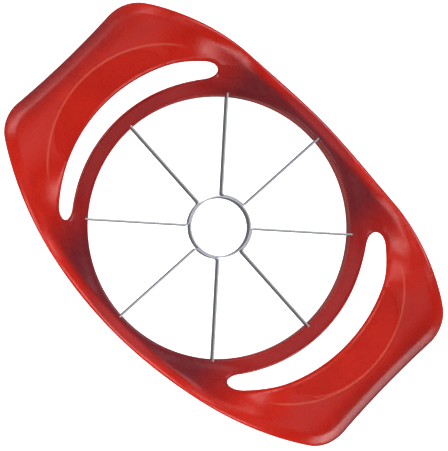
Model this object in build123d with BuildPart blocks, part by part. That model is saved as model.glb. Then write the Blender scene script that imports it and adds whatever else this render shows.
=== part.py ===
"""Apple slicer: a moulded frame with two arched handles, and a core ring with four bent blade strips.

Row frame: +X runs along the handles, +Y across them, +Z up. The origin is on the
surface that the ring stands on, at the axis of the core ring. All sizes are millimetres.
"""

from build123d import *
from math import asin, atan, atan2, cos, degrees, hypot, radians, sin, sqrt, tan
import os

# Ring: the low round wall that holds the outer ends of the blades
hole_radius = 45.0
hole_flare = 0.5
ring_wall = 5.5
ring_height = 11.0

# Plan outline of the moulding
half_width = 50.9
side_radius = 153.0
shoulder_start = 34.0
shoulder_radius = 113.0
half_length = 75.1
end_hollow_radius = 290.0
corner_radius = 12.5

# Handles: a thin plate that climbs from the ring in an S curve and then levels out
plate_thickness = 3.0
band_top = 12.3
handle_top = 33.5
arch_start = 5.4
arch_end = 65.4
handle_fall_radius = 16.0
arm_angle = 52.0
handle_angle = 24.0

# Finger slots between the ring and the handles
slot_width = 5.5
slot_edge_radius = 51.6
slot_half_angle = 43.1
slot_tip_radius = 1.8
rise_start = 0.6
rise_width = 3.0

# Bevel on the inner side of each handle, which ends in a crescent ridge
ridge_x = 66.3
ridge_radius = 39.3
bevel_angle = 20.0
under_crease = 1.5

# Rounded edges
rim_rounding = 0.4
ridge_rounding = 2.0

# Steel: one core ring and four strips, each bent into two neighbouring blades
core_radius = 10.0
core_wall = 0.5
blade_thickness = 0.5
blade_depth = 9.3
blade_base = 1.0
blade_turn = -3.0
blade_count = 8
bend_radius = 0.8
blade_seat_depth = 3.2
edge_height = 1.4
edge_land = 0.1
weld_gap = 0.03
seat_clearance = 0.05

# Values worked out from the sizes above
ring_outer = hole_radius + ring_wall
slot_outer = ring_outer + slot_width
slot_edge_centre = slot_outer - slot_edge_radius
slot_end_offset = slot_edge_centre * sin(radians(slot_half_angle))
slot_end_radius = slot_edge_centre * cos(radians(slot_half_angle)) + sqrt(slot_edge_radius ** 2 - slot_end_offset ** 2)
ridge_centre = ridge_x - ridge_radius
cutting_height = 2 * handle_top
side_turn = degrees(asin(shoulder_start / side_radius))
blade_step = 360.0 / blade_count
seat_end = hole_radius + blade_seat_depth
core_outer = core_radius + core_wall


def smooth(t):
    """0 below 0, 1 above 1, with a level start and end between."""
    t = min(max(t, 0.0), 1.0)
    return t * t * (3 - 2 * t)


def side_edge(x):
    """Half width of the moulding at a distance x from the middle."""
    return half_width - x * x / (2 * side_radius)


def arch_height(x):
    """Top of the moulding along a handle: two equal tangent arcs, then a slow fall."""
    run = arch_end - arch_start
    rise = handle_top - band_top
    arc = (run ** 2 + rise ** 2) / (4 * rise)
    along = abs(x) - arch_start
    if along <= 0:
        return band_top
    if along <= run / 2:
        return band_top + arc - sqrt(arc ** 2 - along ** 2)
    if along <= run:
        return handle_top - arc + sqrt(arc ** 2 - (run - along) ** 2)
    return handle_top - (along - run) ** 2 / (2 * handle_fall_radius)


def top_height(x, y):
    """Top surface: ring height at the rim, arch height at the outline and on the handles."""
    reach = hypot(x, y) - hole_radius
    rest = max(side_edge(x) - abs(y), 0.0)
    on_arm = smooth(reach / max(reach + rest, 0.001))
    on_handle = smooth((reach - ring_wall - rise_start) / rise_width)
    angle = degrees(atan2(abs(y), abs(x)))
    handle_share = smooth((arm_angle - angle) / (arm_angle - handle_angle))
    share = on_arm + (on_handle - on_arm) * handle_share
    return ring_height + (arch_height(x) - ring_height) * share


def under_height(x, y):
    """Underside of the plate: its thickness below the top or the bevel, whichever is lower, with a soft crease."""
    top = top_height(x, y)
    bevel = handle_top + (hypot(x - ridge_centre, y) - ridge_radius) * tan(radians(bevel_angle))
    return (top + bevel - hypot(top - bevel, under_crease)) / 2 - plate_thickness


# Upright sections through the ring and its plate, at these angles about the axis
section_turns = [-9, 0, 9, 17, 24, 30, 36, 42, 49, 58, 68, 79, 90, 101]
wall_radius = ring_outer + rise_start
first_radius = hole_radius - 1.5
inner_radii = [first_radius, hole_radius + 1.5, hole_radius + 4, wall_radius]
outer_radii = [wall_radius + rise_width, 56.5, 60, 65, 71, 78, 86]
centred = (Align.CENTER, Align.CENTER, Align.MIN)

# One quarter of the frame
with BuildPart() as quarter:
    # Ring wall and plate in one loft
    for turn in section_turns:
        across = (cos(radians(turn)), sin(radians(turn)), 0)
        section_plane = Plane(origin=(0, 0, 0), x_dir=across, z_dir=(across[1], -across[0], 0))
        inner = [(r, top_height(r * across[0], r * across[1])) for r in inner_radii]
        outer = [(r, top_height(r * across[0], r * across[1])) for r in outer_radii]
        under = [(r, under_height(r * across[0], r * across[1])) for r in outer_radii]
        wall_top = inner[-1][1] - plate_thickness
        with BuildSketch(section_plane):
            with BuildLine():
                Polyline(inner[0], (first_radius, -1), (wall_radius, -1), (wall_radius, wall_top), under[0])
                Spline(*under)
                Line(under[-1], outer[-1])
                Spline(*outer[::-1])
                Line(outer[0], inner[-1])
                Spline(*inner[::-1])
            make_face()
    loft()
    # Plan outline: two arcs on the long side, a hollow end and a round corner. It also cuts
    # the ring's foot flat at height 0.
    with BuildSketch() as outline:
        with BuildLine():
            side = JernArc((0, half_width), (1, 0), side_radius, -side_turn)
            shoulder = JernArc(side @ 1, side % 1, shoulder_radius, -45)
            Polyline(shoulder @ 1, ((shoulder @ 1).X, -half_length), (0, -half_length), side @ 0)
        make_face()
        Rectangle(2 * half_length, 2 * half_length, align=(Align.MIN, Align.MIN), mode=Mode.INTERSECT)
        with Locations((half_length + end_hollow_radius, 0)):
            Circle(end_hollow_radius, mode=Mode.SUBTRACT)
        fillet(outline.vertices().sort_by(lambda v: hypot(v.X, v.Y))[-1], corner_radius)
    extrude(amount=cutting_height, mode=Mode.INTERSECT)
    # Hole, a little wider at the bottom
    hole_bottom = hole_radius + hole_flare
    Cone(hole_bottom, hole_bottom - hole_flare * cutting_height / ring_height, cutting_height,
         align=centred, mode=Mode.SUBTRACT)
    # Bevel: an upside-down cone takes the inner side of the handle down to the slot
    bevel_height = 2 * ridge_radius * tan(radians(bevel_angle))
    with Locations((ridge_centre, 0, handle_top - bevel_height / 2)):
        Cone(0, 2 * ridge_radius, bevel_height, align=centred, mode=Mode.SUBTRACT)
    # Finger slot: between the ring's outer wall and a wider arc, with round tips
    with BuildSketch() as slot:
        with Locations((slot_edge_centre, 0)):
            Circle(slot_edge_radius)
        Circle(ring_outer, mode=Mode.SUBTRACT)
        half = radians(slot_half_angle)
        far = 2 * slot_outer
        with BuildLine():
            Polyline((0, 0), (far * cos(half), far * sin(half)), (far * cos(half), -far * sin(half)), close=True)
        make_face(mode=Mode.INTERSECT)
        fillet(slot.vertices(), min(slot_tip_radius, 0.45 * (slot_end_radius - ring_outer)))
    extrude(amount=cutting_height, mode=Mode.SUBTRACT)
    # Rounded rim of the hole, and a soft crease along the ridge
    cones = quarter.faces().filter_by(GeomType.CONE).sort_by(Axis.Z)
    rim = cones[0].edges().sort_by(Axis.Z)[-1]
    ridge = cones[-1].edges().sort_by(Axis.Z)[-1]
    fillet(rim, rim_rounding)
    fillet(ridge, ridge_rounding)

# Whole frame: the quarter four times, then the eight blade seats in the ring wall
with BuildPart() as frame:
    add(quarter.part)
    mirror(about=Plane.XZ)
    mirror(about=Plane.YZ)
    with PolarLocations(0, blade_count, start_angle=blade_turn):
        with Locations((hole_radius, 0, blade_base - seat_clearance)):
            Box(2 * blade_seat_depth, blade_thickness + 2 * seat_clearance, blade_depth + 2 * seat_clearance,
                align=centred, mode=Mode.SUBTRACT)
frame.part.label = "frame"
export_step(frame.part, "parts/frame.step")

# Core ring, ground to an edge on the inside
with BuildPart() as core_ring:
    with Locations((0, 0, blade_base)):
        Cylinder(core_outer, blade_depth, align=centred)
        Cylinder(core_radius, blade_depth, align=centred, mode=Mode.SUBTRACT)
        Cone(core_outer - edge_land, core_radius, edge_height, align=centred, mode=Mode.SUBTRACT)
core_ring.part.label = "core_ring"
export_step(core_ring.part, "parts/core_ring.step")

# Plan of one blade strip: two blades and the arc between them that is welded to the core ring.
# This is its side toward the core ring; the other side is one thickness further out.
strip_radius = core_outer + weld_gap
outer_bend = bend_radius + blade_thickness
bend_y = bend_radius + blade_thickness / 2
bend_x = sqrt((strip_radius + outer_bend) ** 2 - bend_y ** 2)
bend_turn = degrees(atan2(bend_y, bend_x))
blade_end = seat_end - seat_clearance
taper_angle = degrees(atan((blade_thickness - edge_land) / 2 / edge_height))
with BuildSketch() as strip_plan:
    with BuildLine() as strip_line:
        Line((blade_end, -blade_thickness / 2), (bend_x, -blade_thickness / 2))
        CenterArc((bend_x, bend_y), outer_bend, -90, bend_turn - 90)
        CenterArc((0, 0), strip_radius, bend_turn, blade_step / 2 - bend_turn)
        middle = Plane(origin=(0, 0, 0), z_dir=(-sin(radians(blade_step / 2)), cos(radians(blade_step / 2)), 0))
        mirror(about=middle)
        offset(amount=blade_thickness, side=Side.RIGHT)
    make_face()

# Four strips: the blades stand upright and taper to their lower edge
for number in range(blade_count // 2):
    with BuildPart() as strip:
        with BuildSketch(Plane.XY.offset(blade_base + edge_height)):
            with Locations(Rotation(0, 0, blade_turn + 2 * number * blade_step)):
                add(strip_plan.sketch)
        extrude(amount=blade_depth - edge_height)
        extrude(strip.faces().sort_by(Axis.Z)[0], amount=edge_height, taper=taper_angle)
    strip.part.label = "blade_strip_%d" % (number + 1)
    export_step(strip.part, "parts/%s.step" % strip.part.label)
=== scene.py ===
# %% [markdown]
# # An apple slicer: a red moulded frame, a core ring and eight steel blades
#
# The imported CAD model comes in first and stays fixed. The steel nodes are kept as they are,
# because thin bent strip is right already. The red frame is made again as a finer surface,
# with every edge rounded as a mould leaves it, and stands for the CAD frame.
#
# Shapes are worked out in millimetres and degrees, and turned into metres when the mesh is made.

# %% Load the frame
import bpy
import bmesh
import numpy as np
from math import radians, degrees, pi
from mathutils import Matrix, Vector


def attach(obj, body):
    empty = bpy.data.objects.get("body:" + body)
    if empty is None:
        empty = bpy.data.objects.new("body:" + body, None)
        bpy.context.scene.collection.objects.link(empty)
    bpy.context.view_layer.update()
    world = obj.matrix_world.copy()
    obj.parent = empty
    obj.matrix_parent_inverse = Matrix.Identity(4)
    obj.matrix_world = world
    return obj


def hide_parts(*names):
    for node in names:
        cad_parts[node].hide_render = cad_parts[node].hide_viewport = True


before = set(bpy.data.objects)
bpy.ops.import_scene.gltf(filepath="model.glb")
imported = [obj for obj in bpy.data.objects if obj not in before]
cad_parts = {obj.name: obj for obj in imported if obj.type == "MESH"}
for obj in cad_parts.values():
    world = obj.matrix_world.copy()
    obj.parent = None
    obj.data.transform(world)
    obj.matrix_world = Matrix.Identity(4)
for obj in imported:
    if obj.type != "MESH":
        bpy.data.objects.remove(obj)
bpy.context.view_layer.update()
print("nodes:", sorted(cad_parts))
MM = 0.001

# %% [markdown]
# ## Where the edges of the moulding run, seen from above
#
# Four curves bound the plastic: the round hole, the long outline, and a curved finger slot at
# each end. All of them are given as a radius for each angle about the core's axis, so that one
# grid of angles can serve the whole frame. The outline is made of arcs, the way a toolmaker
# would draw it: a long side arc, a shoulder arc, a round corner and a slightly hollow end.

# %% Outline
HOLE_R, HOLE_FLARE = 45.0, 0.5
RING_OUT, WALL_R, RING_TOP = 50.5, 51.1, 11.0
HALF_W, SIDE_R, SHOULDER_X, SHOULDER_R = 50.9, 153.0, 34.0, 113.0
HALF_L, HOLLOW_R, CORNER_R = 75.1, 290.0, 12.5


def smooth(t):
    """0 below 0 and 1 above 1, and 3t^2 - 2t^3 between: level at both ends."""
    t = np.clip(t, 0.0, 1.0)
    return t * t * (3 - 2 * t)


def quarter_outline(n):
    """Points of the outline from the long side's middle to the hollow end's middle, n on each arc.

    Each arc is centre + radius * (cos a, sin a), and each centre is set so that its arc is
    tangent to the one before. The corner's centre lies where both of its neighbours, moved in
    by the corner's radius, cross.
    """
    turn = np.arcsin(SHOULDER_X / SIDE_R)
    toward = np.array([np.sin(turn), np.cos(turn)])
    side_c = np.array([0.0, HALF_W - SIDE_R])
    shoulder_c = side_c + (SIDE_R - SHOULDER_R) * toward
    hollow_c = np.array([HALF_L + HOLLOW_R, 0.0])
    near, far = SHOULDER_R - CORNER_R, HOLLOW_R + CORNER_R
    gap = hollow_c - shoulder_c
    span = np.hypot(*gap)
    along = (near ** 2 - far ** 2 + span ** 2) / (2 * span)
    across = np.sqrt(near ** 2 - along ** 2)
    corner_c = shoulder_c + gap / span * along + np.array([-gap[1], gap[0]]) / span * across
    from_shoulder, to_hollow = corner_c - shoulder_c, hollow_c - corner_c
    a = np.arctan2(from_shoulder[1], from_shoulder[0])
    b = np.arctan2(to_hollow[1], to_hollow[0])
    t = np.linspace(0, 1, n)[:, None]

    def arc(centre, radius, start, end):
        """Points of one arc, evenly from its start angle to its end angle."""
        ang = start + (end - start) * t
        return centre + radius * np.hstack([np.cos(ang), np.sin(ang)])

    return np.vstack([arc(side_c, SIDE_R, pi / 2, pi / 2 - turn)[:-1],
                      arc(shoulder_c, SHOULDER_R, pi / 2 - turn, a)[:-1],
                      arc(corner_c, CORNER_R, a, b)[:-1],
                      arc(hollow_c, HOLLOW_R, b + pi, pi)])


fine_quarter = quarter_outline(300)
edge_turn = np.degrees(np.arctan2(fine_quarter[:, 1], fine_quarter[:, 0]))
edge_reach = np.hypot(fine_quarter[:, 0], fine_quarter[:, 1])
print("outline reach from %.2f to %.2f mm" % (edge_reach.min(), edge_reach.max()))

# %% [markdown]
# ## The finger slots
#
# The frame is alike in all four quarters, so an angle is folded into the first one before a
# radius is looked up. Each slot lies between the ring and a wider arc. It could be cut out with
# a Boolean modifier, but that leaves ragged faces at the tips. Here its two sides are rows of
# the grid, and they meet in one line where the slot ends.

# %% Finger slots
SLOT_R, SLOT_C = 51.6, 4.4
SLOT_END, SLOT_TIP, SEAM_SHIFT = 43.1, 38.0, 4.6


def fold(turn):
    """The same place in the first quarter: the frame is alike in all four."""
    turn = np.abs((turn + 180.0) % 360.0 - 180.0)
    return np.minimum(turn, 180.0 - turn)


def outline_radius(turn):
    """Radius of the outline at each angle, read off the arcs."""
    return np.interp(fold(turn), edge_turn[::-1], edge_reach[::-1])


def slot_radii(turn):
    """Inner and outer radius of the finger slot; outside it both run along one seam line.

    The inner side is a circle about the axis and the outer side a circle about a point
    SLOT_C further out. In the last degrees the half width falls as a quarter ellipse,
    which gives the round tip. Past the tip the seam line drifts in by SEAM_SHIFT.
    """
    a = fold(turn)
    rad = np.radians(np.minimum(a, SLOT_END))
    far = SLOT_C * np.cos(rad) + np.sqrt(SLOT_R ** 2 - (SLOT_C * np.sin(rad)) ** 2)
    mid, half = (RING_OUT + far) / 2, (far - RING_OUT) / 2
    past = np.clip((a - SLOT_TIP) / (SLOT_END - SLOT_TIP), 0, 1)
    half = half * np.sqrt(np.maximum(1 - past ** 2, 0))
    mid = mid - SEAM_SHIFT * smooth((a - SLOT_END) / (90 - SLOT_END))
    return mid - half, mid + half


print("slot width at its middle: %.2f mm" % np.subtract(*slot_radii(0.0)[::-1]))

# %% [markdown]
# ## How high the top surface stands
#
# The ring's rim is level. From there each arm climbs in an S curve to the handle, which
# levels out and falls a little to its end. The handle's inner side is a bevel that slopes
# down to the finger slot. Where the bevel meets the outer part of the handle, the wing, there
# is a soft ridge. Each height is a formula in x and y, so that top, underside and ridge agree.

# %% Heights
PLATE, BAND_TOP, HANDLE_TOP = 3.0, 12.3, 33.5
ARCH_A, ARCH_B, FALL_R = 5.4, 65.4, 16.0
ARM_TURN, HANDLE_TURN = 52.0, 24.0
RISE_START, RISE_WIDTH = 0.6, 3.0
RIDGE_C, RIDGE_R, BEVEL, BEVEL_FROM = 27.0, 39.3, 20.0, 2.5
BEAD, BEAD_WIDTH, BEAD_FROM = 0.26, 0.13, 4.0
BEAD_END, BEAD_FADE = 36.0, 10.0
NO_CONE = 999.0


def arch_height(x):
    """Height along a handle: two equal tangent arcs make the S, then x^2 / 2R takes it down."""
    run, rise = ARCH_B - ARCH_A, HANDLE_TOP - BAND_TOP
    arc = (run ** 2 + rise ** 2) / (4 * rise)
    s = np.clip(np.abs(x) - ARCH_A, 0, None)
    low = BAND_TOP + arc - np.sqrt(arc ** 2 - np.minimum(s, run / 2) ** 2)
    high = HANDLE_TOP - arc + np.sqrt(arc ** 2 - np.clip(run - s, 0, run / 2) ** 2)
    return np.where(s <= run / 2, low, high) - np.clip(s - run, 0, None) ** 2 / (2 * FALL_R)


def lower_of(a, b, crease):
    """Soft minimum: half of the sum less half of sqrt(difference^2 + crease^2)."""
    return (a + b - np.hypot(a - b, crease)) / 2


def cone_height(x, y):
    """The bevel's cone: it rises at BEVEL degrees from its own axis and meets HANDLE_TOP at RIDGE_R."""
    return HANDLE_TOP + (np.hypot(np.abs(x) - RIDGE_C, y) - RIDGE_R) * np.tan(radians(BEVEL))


def uncut_height(x, y):
    """Ring height plus a share of the climb to the arch: 0 at the rim, 1 at the outline and on the handle."""
    r = np.hypot(x, y)
    reach = r - HOLE_R
    rest = np.clip(HALF_W - x * x / (2 * SIDE_R) - np.abs(y), 0, None)
    on_arm = smooth(reach / np.maximum(reach + rest, 0.001))
    on_handle = smooth((r - RING_OUT - RISE_START) / RISE_WIDTH)
    turn = np.degrees(np.arctan2(np.abs(y), np.abs(x)))
    share = on_arm + (on_handle - on_arm) * smooth((ARM_TURN - turn) / (ARM_TURN - HANDLE_TURN))
    return RING_TOP + (arch_height(x) - RING_TOP) * share


def crest(x, y, crease):
    """The lower of the climbing surface and the bevel's cone, with a soft crease between."""
    cone = np.where(np.hypot(x, y) > RING_OUT + BEVEL_FROM, cone_height(x, y), NO_CONE)
    return lower_of(uncut_height(x, y), cone, crease)


def ridge_bead(x, y):
    """A fine raised line where bevel and wing meet: a bell curve of the gap between their heights."""
    gap = uncut_height(x, y) - cone_height(x, y)
    turn = np.degrees(np.arctan2(np.abs(y), np.abs(x)))
    here = smooth((BEAD_END - turn) / BEAD_FADE) * (np.hypot(x, y) > RING_OUT + BEAD_FROM)
    return BEAD * here * np.exp(-(gap / BEAD_WIDTH) ** 2)


print("arch at x = 0, 35 and 70 mm:", arch_height(np.array([0.0, 35.0, 70.0])).round(2))

# %% [markdown]
# ## The frame's skin
#
# The skin is a grid: columns are angles about the axis and rows go round the section, over
# the top, down the outer wall, back along the underside and up the inner wall. A column that
# meets a slot has two such sections, the ring's and the handle's. Rows crowd together at the
# edges, where the height falls as a quarter circle of the distance to the edge. Eight narrow
# notches in the rim let the blade ends in.

# %% Grid of angles and radii
EDGE_OUT, EDGE_SLOT, EDGE_RIM, EDGE_FOOT = 1.3, 1.3, 0.8, 0.5
STRIP_WIDTH, STRIP_FALL, STRIP_SOFT = 3.9, 1.8, 0.3
BLADE_TURNS = -3.0 + 45.0 * np.arange(8)
NOTCH_HALF, NOTCH_DEEP = 0.36, 0.9


def column_turns():
    """Angles of the columns: crowded at the slot tips, the outline's corners and the notches."""
    tip = SLOT_TIP + (SLOT_END - SLOT_TIP) * np.sin(np.linspace(0, pi / 2, 15))
    past = SLOT_END + 3.0 * np.linspace(0, 1, 9)[1:] ** 1.6
    quarter = np.concatenate([np.linspace(0, 14, 15)[:-1], np.linspace(14, 28, 29)[:-1],
                              np.linspace(28, SLOT_TIP, 11)[:-1], tip, past,
                              np.linspace(past[-1], 90, 44)[1:]])
    whole = np.concatenate([quarter, 180 - quarter[::-1][1:],
                            180 + quarter[1:], 360 - quarter[::-1][1:-1]])
    off = np.array([-NOTCH_HALF - 0.05, -NOTCH_HALF, NOTCH_HALF, NOTCH_HALF + 0.05])
    extra = (BLADE_TURNS[:, None] + off).ravel() % 360
    near = np.abs((whole[:, None] - BLADE_TURNS + 180) % 360 - 180).min(1) < NOTCH_HALF + 0.12
    on_tip = np.abs(fold(whole) - SLOT_END) < 1e-6
    return np.sort(np.concatenate([whole[~near | on_tip], extra]))


turns = column_turns()
in_slot = fold(turns) <= SLOT_END + 1e-6
in_notch = np.abs((turns[:, None] - BLADE_TURNS + 180) % 360 - 180).min(1) < NOTCH_HALF + 0.01
print("columns:", len(turns), "of them in a notch:", in_notch.sum())

# %% [markdown]
# ## Rounded edges and gentle slopes
#
# A moulding has no sharp edge. A bevel modifier could round this one, but it would stumble
# over the thin slot tips, so the rounding is part of the height: it depends only on how far a
# point lies from the nearest edge. The strip along the outline slopes by the same means. It is
# a guess from the photograph's shading.

# %% Rows, distances and falls


def span_rows(r0, r1, e0, e1, n, rows=6):
    """Radii from r0 to r1: crowded as e(1 - cos a) inside each end, and even between."""
    a = (1 - np.cos(np.linspace(0, pi / 2, rows)))[None, :]
    e0, e1 = [np.minimum(e, 0.45 * (r1 - r0))[:, None] for e in (e0, e1)]
    r0, r1 = r0[:, None], r1[:, None]
    even = np.linspace(0, 1, n)[None, 1:-1]
    return np.hstack([r0 + e0 * a, r0 + e0 + (r1 - r0 - e0 - e1) * even, (r1 - e1 * a)[:, ::-1]])


def distance(x, y, line):
    """Shortest distance from each point, folded into the first quarter, to a line of short pieces."""
    a, d = line[:-1], np.diff(line, axis=0)
    p = np.stack([np.abs(x), np.abs(y)], -1).reshape(-1, 1, 2)
    t = np.clip(((p - a) * d).sum(-1) / (d * d).sum(-1), 0, 1)
    return np.linalg.norm(p - a - t[..., None] * d, axis=-1).min(1).reshape(x.shape)


def slot_line():
    """The first quarter of a slot's edge: out along its inner side and back along its outer side."""
    tip = SLOT_TIP + (SLOT_END - SLOT_TIP) * np.sin(np.linspace(0, pi / 2, 14))[1:]
    a = np.concatenate([np.linspace(-3, SLOT_TIP, 24), tip])
    rad = np.radians(a)
    inner, outer = [np.stack([r * np.cos(rad), r * np.sin(rad)], -1) for r in slot_radii(a)]
    return np.vstack([inner, outer[:-1][::-1]])


def fall(d, e):
    """How far a rounded edge falls at distance d inside it: e - sqrt(e^2 - (e - d)^2)."""
    u = np.clip(e - d, 0, e)
    return e - np.sqrt(np.maximum(e * e - u * u, 0))


def strip_fall(d):
    """Fall of the strip along the outline: slope times a soft maximum of 0 and (width - distance)."""
    w = STRIP_WIDTH - d
    return STRIP_FALL / STRIP_WIDTH * (w + np.sqrt(w * w + STRIP_SOFT)) / 2


print("strip falls %.2f mm at the outline" % strip_fall(0.0))

# %% [markdown]
# ## Rows of the two sections
#
# Each section gets its own list of radii for the top and for the underside. On the handle one
# row follows the ridge exactly, with six close rows on each side, because a line this fine
# would be lost between the points of an even grid.

# %% Radii of both sections
RIDGE_ROOM, RIDGE_NEAR, RIDGE_NEAR_SHARE = 3.2, 1.1, 0.2
EVEN_JOIN = 0.02
ones = np.ones(len(turns))
r_hole = HOLE_R + NOTCH_DEEP * in_notch
r_in, r_out = slot_radii(turns)
r_line = outline_radius(turns)
lean = np.gradient(r_line, np.radians(turns)) / r_line
edge_out = EDGE_OUT * np.sqrt(1 + lean ** 2)
ring_top = span_rows(r_hole, r_in, EDGE_RIM * ones, EDGE_SLOT * ones, 9)
folded = np.radians(fold(turns))
room = r_line - r_out
ridge_r = RIDGE_C * np.cos(folded) + np.sqrt(RIDGE_R ** 2 - (RIDGE_C * np.sin(folded)) ** 2)
ridge_r = np.maximum(ridge_r, r_out + np.minimum(RIDGE_ROOM, 0.5 * room))
near_ridge = np.minimum(RIDGE_NEAR, RIDGE_NEAR_SHARE * room)
bevel_rows = span_rows(r_out, ridge_r - near_ridge, EDGE_SLOT * ones, EVEN_JOIN * ones, 12)[:, :-6]
ridge_rows = ridge_r[:, None] + near_ridge[:, None] * np.linspace(-1, 1, 13)
wing_rows = span_rows(ridge_r + near_ridge, r_line, EVEN_JOIN * ones, edge_out, 26)[:, 6:]
handle_top = np.hstack([bevel_rows, ridge_rows, wing_rows])
ring_under = span_rows(r_hole + HOLE_FLARE, r_in, EDGE_FOOT * ones, EDGE_FOOT * ones, 6, rows=4)
handle_under = span_rows(r_out, r_line, EDGE_SLOT * ones, edge_out, 24, rows=6)


def with_wall(radii):
    """Two more rows just inside and outside the ring's outer wall, where the underside steps."""
    wall = np.clip(np.broadcast_to([WALL_R, WALL_R + 0.05], (len(radii), 2)), radii[:, :1], radii[:, -1:])
    return np.sort(np.hstack([radii, wall]), axis=1)


ring_under, handle_under = with_wall(ring_under), with_wall(handle_under)
slot_edge, outline_edge = slot_line(), quarter_outline(14)
print("rows: ring %d and %d, handle %d and %d" % (ring_top.shape[1], ring_under.shape[1],
                                                  handle_top.shape[1], handle_under.shape[1]))

# %% [markdown]
# ## Top and underside
#
# Now every row and column gets its height. The band beside the hole slopes up a little from
# the rim, which is a second guess from the shading. The underside is hidden in the photograph:
# it is the ring's flat foot and, beyond its wall, the same surface one plate thickness lower.

# %% Top and underside
BAND_SLOPE, BAND_FADE = 0.12, 5.0
TOP_CREASE, UNDER_CREASE = 0.3, 1.5


def place(radii):
    """x and y of each row of each column."""
    rad = np.radians(turns)[:, None]
    return radii * np.cos(rad), radii * np.sin(rad)


def band_rise(x, y):
    """Rise of the band beside the hole: BAND_SLOPE times the distance from it, fading past the ring."""
    r = np.hypot(x, y)
    rise = BAND_SLOPE * np.clip(r - HOLE_R, 0, RING_OUT - HOLE_R)
    return rise * (1 - smooth((r - RING_OUT) / BAND_FADE))


def top_sheet(radii):
    """The top, less the fall at each of its three kinds of edge."""
    x, y = place(radii)
    d_out = distance(x, y, outline_edge)
    z = crest(x, y, TOP_CREASE) + band_rise(x, y) + ridge_bead(x, y) - strip_fall(d_out)
    z -= fall(radii - HOLE_R, EDGE_RIM)
    z -= fall(distance(x, y, slot_edge), EDGE_SLOT) + fall(d_out, EDGE_OUT)
    return np.stack([x, y, z], -1)


def under_sheet(radii):
    """The underside: the ring's flat foot, then the plate's thickness below the top."""
    x, y = place(radii)
    d_slot, d_out = distance(x, y, slot_edge), distance(x, y, outline_edge)
    plate = crest(x, y, UNDER_CREASE) - PLATE - strip_fall(d_out)
    plate += fall(d_slot, EDGE_SLOT) + fall(d_out, EDGE_OUT)
    foot = fall(radii - r_hole[:, None] - HOLE_FLARE, EDGE_FOOT)
    foot += fall(d_slot, EDGE_FOOT) + fall(d_out, EDGE_FOOT)
    return np.stack([x, y, np.where(radii > WALL_R + 0.02, plate, foot)], -1)


print("highest point of the top: %.2f mm" % top_sheet(handle_top)[..., 2].max())

# %% [markdown]
# ## Closing the surface
#
# Walls join the top to the underside, and neighbouring columns are joined by quads. Where a
# column has no slot, the ring's section and the handle's touch along the seam line: their
# walls are left out there and their points merged, which makes one closed skin.

# %% Sections and faces
WALL_ROWS = 4
MERGE = 2e-6
SHARP_TURN = 55.0


def wall(upper, lower):
    """Even rows between two edges, upper to lower, both left out."""
    t = np.linspace(0, 1, WALL_ROWS + 2)[1:-1]
    return upper[:, None] + (lower - upper)[:, None] * t[None, :, None]


def section(top_r, low_r):
    """One closed section for each column, in order: top, outer wall, underside, inner wall."""
    top, low = top_sheet(top_r), under_sheet(low_r)
    return np.concatenate([top, wall(top[:, -1], low[:, -1]), low[:, ::-1], wall(low[:, 0], top[:, 0])], axis=1)


def quads(columns, rows, start, keep):
    """Faces between neighbouring columns and rows; keep says which of them exist."""
    i, j = np.meshgrid(np.arange(columns), np.arange(rows), indexing="ij")
    i2, j2 = (i + 1) % columns, (j + 1) % rows
    return (np.stack([i * rows + j, i2 * rows + j, i2 * rows + j2, i * rows + j2], -1) + start)[keep]


ring_pts, handle_pts = section(ring_top, ring_under), section(handle_top, handle_under)
slot_pair = (in_slot & np.roll(in_slot, -1))[:, None]
keep_ring = np.ones(ring_pts.shape[:2], bool)
outer_wall = slice(ring_top.shape[1] - 1, ring_top.shape[1] + WALL_ROWS)
keep_ring[:, outer_wall] = slot_pair
keep_handle = np.ones(handle_pts.shape[:2], bool)
keep_handle[:, handle_pts.shape[1] - WALL_ROWS - 1:] = slot_pair
verts = np.vstack([ring_pts.reshape(-1, 3), handle_pts.reshape(-1, 3)]) * MM
faces = np.vstack([quads(*ring_pts.shape[:2], 0, keep_ring),
                   quads(*handle_pts.shape[:2], len(turns) * ring_pts.shape[1], keep_handle)])
print("before merging: %d points, %d quads" % (len(verts), len(faces)))

# %% Mesh and piece


def mesh_from(name, verts, faces):
    """Puts whole arrays of points and quads into a mesh."""
    me = bpy.data.meshes.new(name)
    me.vertices.add(len(verts))
    me.vertices.foreach_set("co", np.asarray(verts, np.float32).ravel())
    me.loops.add(faces.size)
    me.loops.foreach_set("vertex_index", np.asarray(faces, np.int32).ravel())
    me.polygons.add(len(faces))
    me.polygons.foreach_set("loop_start", np.arange(len(faces), dtype=np.int32) * faces.shape[1])
    me.update(calc_edges=True)
    me.validate()
    return me


def new_piece(name, me):
    """An object for a mesh, at the world's origin."""
    obj = bpy.data.objects.new(name, me)
    bpy.context.scene.collection.objects.link(obj)
    return obj


skin = mesh_from("frame_skin", verts, faces)
bm = bmesh.new()
bm.from_mesh(skin)
bmesh.ops.remove_doubles(bm, verts=bm.verts, dist=MERGE)
bmesh.ops.delete(bm, geom=[v for v in bm.verts if not v.link_faces], context="VERTS")
bmesh.ops.recalc_face_normals(bm, faces=bm.faces)
open_edges = sum(1 for e in bm.edges if len(e.link_faces) != 2)
volume = bm.calc_volume(signed=True)
bm.to_mesh(skin)
bm.free()
skin.shade_smooth()
skin.set_sharp_from_angle(angle=radians(SHARP_TURN))
frame_skin = new_piece("frame_skin", skin)
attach(frame_skin, "root")
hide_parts("frame")
print("frame skin: %d faces, %d open edges, %.1f cm3" % (len(skin.polygons), open_edges, volume * 1e6))

# %% [markdown]
# ## Node helpers
#
# Materials are node trees. These helpers add one node each and return its output, so that a
# finish further down reads as a short recipe. Every pattern is read from Object coordinates,
# in metres, and stays in place on the piece.

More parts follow.
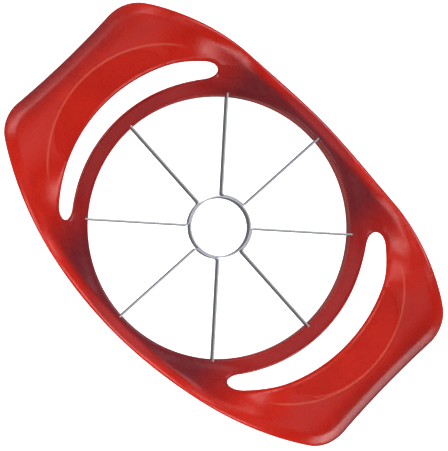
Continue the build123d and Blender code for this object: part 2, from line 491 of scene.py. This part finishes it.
# %% Material helpers
def new_material(name):
    """A node material, with its nodes, its links and its main shader."""
    mat = bpy.data.materials.new(name)
    mat.use_nodes = True
    nodes, links = mat.node_tree.nodes, mat.node_tree.links
    return mat, nodes, links, nodes["Principled BSDF"]


def noise(nodes, links, vector, scale, detail=2.0):
    """A noise texture at a scale in cells per metre."""
    tex = nodes.new("ShaderNodeTexNoise")
    tex.inputs["Scale"].default_value = scale
    tex.inputs["Detail"].default_value = detail
    links.new(vector, tex.inputs["Vector"])
    return tex.outputs["Fac"]


def map_range(nodes, links, value, low, high, start=0.3, end=0.7):
    """Turns start..end into low..high. The usual start and end are a noise's middle range."""
    node = nodes.new("ShaderNodeMapRange")
    for name, number in (("From Min", start), ("From Max", end), ("To Min", low), ("To Max", high)):
        node.inputs[name].default_value = number
    links.new(value, node.inputs["Value"])
    return node.outputs["Result"]


def maths(nodes, links, operation, first, second=0.0):
    """One step of arithmetic on a link or a number."""
    node = nodes.new("ShaderNodeMath")
    node.operation = operation
    for socket, value in zip(node.inputs, (first, second)):
        if isinstance(value, float):
            socket.default_value = value
        else:
            links.new(value, socket)
    return node.outputs[0]


def mix(nodes, links, share, colour, other):
    """Goes from a linked colour to another one as the share goes from 0 to 1."""
    node = nodes.new("ShaderNodeMixRGB")
    node.inputs["Color2"].default_value = (*other, 1)
    links.new(share, node.inputs["Fac"])
    links.new(colour, node.inputs["Color1"])
    return node.outputs["Color"]


def bump(nodes, links, height, strength, depth):
    """Tilts the surface as if it rose and fell by a depth in metres."""
    node = nodes.new("ShaderNodeBump")
    node.inputs["Strength"].default_value = strength
    node.inputs["Distance"].default_value = depth
    links.new(height, node.inputs["Height"])
    return node.outputs["Normal"]


print("helpers: noise, map_range, maths, mix, bump")

# %% [markdown]
# ## Where the red is deeper or lighter
#
# In the photograph the arms, the bands beside the hole and the far ends of the wings are
# darker and more purple than the bevels, and the crest of each ridge is a light line. Lights
# and relief alone didn't bring that out, so the colour changes by place on the object.
# This stands in for shading. Whether the real plastic is darker there, thicker, or one even
# red in an uneven light can't be told from the photograph.
# The darker red is painted shade, and the lighter red on each crest is a painted highlight.

# %% Painted shade and painted highlight
# Painted shade: where the arms, bands and wing ends get a darker red, and how much, in metres.
PAINTED_SHADE_Z = (0.0085, 0.0106)
PAINTED_SHADE_SIDE, PAINTED_SHADE_X = (0.0022, 0.0048), (0.028, 0.044)
PAINTED_SHADE_BAND, BAND_SHADE_SHARE = (0.0498, 0.0515), 0.45
PAINTED_SHADE_WING_X, PAINTED_SHADE_WING_Y, WING_SHADE_SHARE = (0.067, 0.0745), (0.014, 0.032), 0.75
# Painted highlight: where each ridge crest gets a lighter red, and how much.
PAINTED_HIGHLIGHT_GAP, PAINTED_HIGHLIGHT_Z, PAINTED_HIGHLIGHT_SHARE = (0.00012, 0.00045), (0.029, 0.032), 0.5


def from_axis(nodes, links, x, y):
    """Distance in plan: the square root of x^2 + y^2."""
    squares = [maths(nodes, links, "MULTIPLY", v, v) for v in (x, y)]
    return maths(nodes, links, "SQRT", maths(nodes, links, "ADD", *squares))


def painted_shade_share(nodes, links, coords):
    """How much painted shade darkens the red: 1 on the arms inside their outer strip, less on bands and wing
    ends.

    The strip is found by distance from the long side's edge, HALF_W - x^2 / (2 SIDE_R) - |y|.
    The largest of the three shares counts, and the ring's outer wall stays plain.
    """
    split = nodes.new("ShaderNodeSeparateXYZ")
    links.new(coords, split.inputs["Vector"])
    x, y, z = split.outputs
    along, across = [maths(nodes, links, "ABSOLUTE", v) for v in (x, y)]
    bulge = maths(nodes, links, "MULTIPLY", maths(nodes, links, "MULTIPLY", x, x), 1 / (2 * SIDE_R * MM))
    inside = maths(nodes, links, "SUBTRACT", maths(nodes, links, "SUBTRACT", HALF_W * MM, bulge), across)
    arm = maths(nodes, links, "MULTIPLY", map_range(nodes, links, inside, 0.0, 1.0, *PAINTED_SHADE_SIDE),
                map_range(nodes, links, along, 1.0, 0.0, *PAINTED_SHADE_X))
    wing = maths(nodes, links, "MULTIPLY",
                 map_range(nodes, links, along, 0.0, WING_SHADE_SHARE, *PAINTED_SHADE_WING_X),
                 map_range(nodes, links, across, 1.0, 0.0, *PAINTED_SHADE_WING_Y))
    band = map_range(nodes, links, from_axis(nodes, links, x, y), BAND_SHADE_SHARE, 0.0, *PAINTED_SHADE_BAND)
    above = map_range(nodes, links, z, 0.0, 1.0, *PAINTED_SHADE_Z)
    largest = maths(nodes, links, "MAXIMUM", arm, maths(nodes, links, "MAXIMUM", band, wing))
    return maths(nodes, links, "MULTIPLY", above, largest)


def painted_highlight_share(nodes, links, coords):
    """How much painted highlight lightens the red: its full share on a ridge's crest, falling to 0 beside it
    and lower down.

    The crest is a circle of radius RIDGE_R about a point RIDGE_C along each handle.
    """
    split = nodes.new("ShaderNodeSeparateXYZ")
    links.new(coords, split.inputs["Vector"])
    x, y, z = split.outputs
    along = maths(nodes, links, "SUBTRACT", maths(nodes, links, "ABSOLUTE", x), RIDGE_C * MM)
    radius = from_axis(nodes, links, along, y)
    gap = maths(nodes, links, "ABSOLUTE", maths(nodes, links, "SUBTRACT", radius, RIDGE_R * MM))
    return maths(nodes, links, "MULTIPLY", map_range(nodes, links, gap, PAINTED_HIGHLIGHT_SHARE, 0.0, *PAINTED_HIGHLIGHT_GAP),
                 map_range(nodes, links, z, 0.0, 1.0, *PAINTED_HIGHLIGHT_Z))


# Shares of the painted shade.
print("deeper share: arms 1, bands %.2f, wing ends %.2f" % (BAND_SHADE_SHARE, WING_SHADE_SHARE))

# %% [markdown]
# ## Red plastic
#
# The frame is a semi-gloss moulding. A slow noise shifts its red a little, a middle one its
# gloss, and a fine grain breaks up the highlights, as the skin of a mould does.

# %% Red plastic
RED_LOW, RED_HIGH = (0.58, 0.022, 0.01), (0.66, 0.028, 0.013)
# Colours of the painted shade and of the painted highlight.
PAINTED_SHADE_RED, PAINTED_HIGHLIGHT_RED = (0.24, 0.026, 0.034), (0.8, 0.2, 0.12)


def red_plastic():
    """Red by slow noise, with painted shade and a painted highlight by place, roughness by a middle noise, and
    a bump by a fine one.
    """
    mat, nodes, links, shader = new_material("red_moulded_plastic")
    coords = nodes.new("ShaderNodeTexCoord").outputs["Object"]
    ramp = nodes.new("ShaderNodeValToRGB")
    for stop, position, red in zip(ramp.color_ramp.elements, (0.35, 0.65), (RED_LOW, RED_HIGH)):
        stop.position, stop.color = position, (*red, 1)
    links.new(noise(nodes, links, coords, 70.0, 3.0), ramp.inputs["Fac"])
    # Painted shade: a darker purple red on the arms, the bands beside the hole and the wing ends.
    red = mix(nodes, links, painted_shade_share(nodes, links, coords), ramp.outputs["Color"], PAINTED_SHADE_RED)
    # Painted highlight: a lighter red along each ridge crest.
    red = mix(nodes, links, painted_highlight_share(nodes, links, coords), red, PAINTED_HIGHLIGHT_RED)
    links.new(red, shader.inputs["Base Color"])
    gloss = map_range(nodes, links, noise(nodes, links, coords, 500.0), 0.24, 0.34)
    links.new(gloss, shader.inputs["Roughness"])
    grain = bump(nodes, links, noise(nodes, links, coords, 2400.0), 0.5, 0.00006)
    links.new(grain, shader.inputs["Normal"])
    shader.inputs["IOR"].default_value = 1.45
    return mat


frame_skin.data.materials.append(red_plastic())
print("frame_skin:", frame_skin.data.materials[0].name)

# %% [markdown]
# ## Steel
#
# The core ring and the blades are polished strip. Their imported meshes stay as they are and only
# get this finish. The grinding marks are a noise that is stretched along the height.

# %% Steel
STEEL_NODES = ["core_ring"] + ["blade_strip_%d" % k for k in (1, 2, 3, 4)]


def steel():
    """Roughness by a middle noise, and a slight bump by a fine one drawn out along Z."""
    mat, nodes, links, shader = new_material("polished_steel")
    coords = nodes.new("ShaderNodeTexCoord").outputs["Object"]
    gloss = map_range(nodes, links, noise(nodes, links, coords, 300.0), 0.12, 0.26)
    links.new(gloss, shader.inputs["Roughness"])
    stretch = nodes.new("ShaderNodeMapping")
    stretch.inputs["Scale"].default_value = (1.0, 1.0, 0.15)
    links.new(coords, stretch.inputs["Vector"])
    marks = bump(nodes, links, noise(nodes, links, stretch.outputs["Vector"], 3000.0), 0.3, 0.00002)
    links.new(marks, shader.inputs["Normal"])
    shader.inputs["Base Color"].default_value = (0.5, 0.5, 0.51, 1)
    shader.inputs["Metallic"].default_value = 1.0
    return mat


strip_steel = steel()
for node in STEEL_NODES:
    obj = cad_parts[node]
    obj.data.materials.clear()
    obj.data.materials.append(strip_steel)
print("steel on:", STEEL_NODES)

# %% [markdown]
# ## Floor
#
# The photograph's background is plain white. A large plane that glows a little stays white
# under any light. It is hidden from bounced light and from reflections, because otherwise it
# would light the underside and turn the steel white.

# %% Floor
bpy.ops.mesh.primitive_plane_add(size=3.0, location=(0, 0, 0))
floor = bpy.context.object
floor.name = "floor"
floor_mat, _, _, floor_shader = new_material("pale_floor")
floor_shader.inputs["Base Color"].default_value = (0.9, 0.9, 0.9, 1)
floor_shader.inputs["Roughness"].default_value = 0.9
floor_shader.inputs["Emission Color"].default_value = (1, 1, 1, 1)
floor_shader.inputs["Emission Strength"].default_value = 1.0
floor.data.materials.append(floor_mat)
floor.visible_diffuse = floor.visible_glossy = False
print("floor: %.0f m square" % floor.dimensions.x)

# %% [markdown]
# ## Camera
#
# The photograph looks almost straight down, and the slicer is turned in the picture, with its
# handles from the upper left to the lower right. The place of the camera was found by fitting
# the hole, the slots and the outline to their places in the photograph. A camera looks along
# its own -Z, so its matrix is made of the directions right, up and back.

# %% Camera
FOCAL_PX, PICTURE_PX, SENSOR, ROLL = 1400.0, 451.0, 36.0, 45.07
eye, aim = Vector((-0.02822, -0.04973, 0.48314)), Vector((0.00117, 0.0022, 0.0))
view = (aim - eye).normalized()
level = view.cross(Vector((0, 1, 0))).normalized()
rise = level.cross(view)
right = np.cos(radians(ROLL)) * level + np.sin(radians(ROLL)) * rise
up = np.cos(radians(ROLL)) * rise - np.sin(radians(ROLL)) * level
cam_data = bpy.data.cameras.new("camera")
cam_data.sensor_width = SENSOR
cam_data.lens = FOCAL_PX / PICTURE_PX * SENSOR
cam_data.clip_start = 0.01
camera = bpy.data.objects.new("camera", cam_data)
bpy.context.scene.collection.objects.link(camera)
pose = Matrix((right, up, -view)).transposed().to_4x4()
pose.translation = eye
camera.matrix_world = pose
bpy.context.scene.camera = camera
tilt = degrees(view.angle(Vector((0, 0, -1))))
print("camera %.0f mm from the origin, %.1f degrees off upright" % (eye.length * 1000, tilt))

# %% [markdown]
# ## Light boxes
#
# Soft square boxes stand low around the slicer, because a low light brightens the sloping
# bevels more than the level arms. One near box lights the arm at the picture's lower left, and
# a violet one tints the opposite edge a little. The set was begun from a fit of single lights
# to the photograph's tones and then finished. It isn't the set that the photograph was
# taken in.

# %% Light boxes
def soft_light(name, distance, height_angle, turn, size, watts, colour=(1, 1, 1)):
    """A square soft box, at a distance and a height angle above the floor, that faces the axis."""
    data = bpy.data.lights.new(name, "AREA")
    data.size, data.energy, data.color = size, watts, colour
    light = bpy.data.objects.new(name, data)
    bpy.context.scene.collection.objects.link(light)
    high, round_axis = radians(height_angle), radians(turn)
    out = Vector((np.cos(high) * np.cos(round_axis), np.cos(high) * np.sin(round_axis), np.sin(high)))
    light.location = out * distance
    light.rotation_euler = (-light.location).to_track_quat("-Z", "Y").to_euler()
    light.visible_camera = False


soft_light("box_near_side", 0.22, 24, 272, 0.14, 0.22)
soft_light("box_far_side", 0.6, 24, 85, 0.3, 1.05)
soft_light("box_far_left", 0.6, 34, 140, 0.3, 0.6)
soft_light("box_left", 0.6, 20, 190, 0.3, 0.95)
soft_light("box_right", 0.6, 12, 345, 0.3, 0.85)
soft_light("box_low_side", 0.22, 12, 80, 0.1, 0.05, (0.8, 0.6, 1.0))
soft_light("box_low_end", 0.6, 5, 0, 0.3, 0.75)
print("light boxes:", len(bpy.data.lights))

# %% [markdown]
# ## Surround
#
# Steel shows what stands around it. A grey surround that is bright only overhead gives the
# blades light top edges and darker sides. Its grey depends on height alone: the Z of each
# direction, from -1 below to 1 above, runs through a colour ramp. The camera itself sees plain
# white instead, so that low views keep the pale background.

# %% Surround
SURROUND = [(0.0, (0.18, 0.18, 0.18)), (0.09, (0.18, 0.18, 0.18)), (0.2, (0.25, 0.25, 0.25)),
            (0.5, (0.22, 0.22, 0.22)), (0.56, (0.16, 0.16, 0.16)), (0.9, (0.12, 0.12, 0.12)),
            (0.96, (0.4, 0.42, 0.46)), (1.0, (0.95, 0.97, 1.05))]
world = bpy.data.worlds.new("studio")
bpy.context.scene.world = world
world.use_nodes = True
world_nodes, world_links = world.node_tree.nodes, world.node_tree.links
split = world_nodes.new("ShaderNodeSeparateXYZ")
world_links.new(world_nodes.new("ShaderNodeTexCoord").outputs["Generated"], split.inputs["Vector"])
sky = world_nodes.new("ShaderNodeValToRGB")
world_links.new(map_range(world_nodes, world_links, split.outputs["Z"], 0.0, 1.0, -1.0, 1.0), sky.inputs["Fac"])
for position, _ in SURROUND[1:-1]:
    sky.color_ramp.elements.new(position)
for number, (_, grey) in enumerate(SURROUND):
    sky.color_ramp.elements[number].color = (*grey, 1)
seen = world_nodes.new("ShaderNodeLightPath").outputs["Is Camera Ray"]
backdrop = mix(world_nodes, world_links, seen, sky.outputs["Color"], (1, 1, 1))
world_links.new(backdrop, world_nodes["Background"].inputs["Color"])
bpy.context.scene.view_settings.view_transform = "Standard"
bpy.context.scene.view_settings.look = "Medium High Contrast"
print("surround:", [(round(e.position, 2), round(e.color[0], 2)) for e in sky.color_ramp.elements])
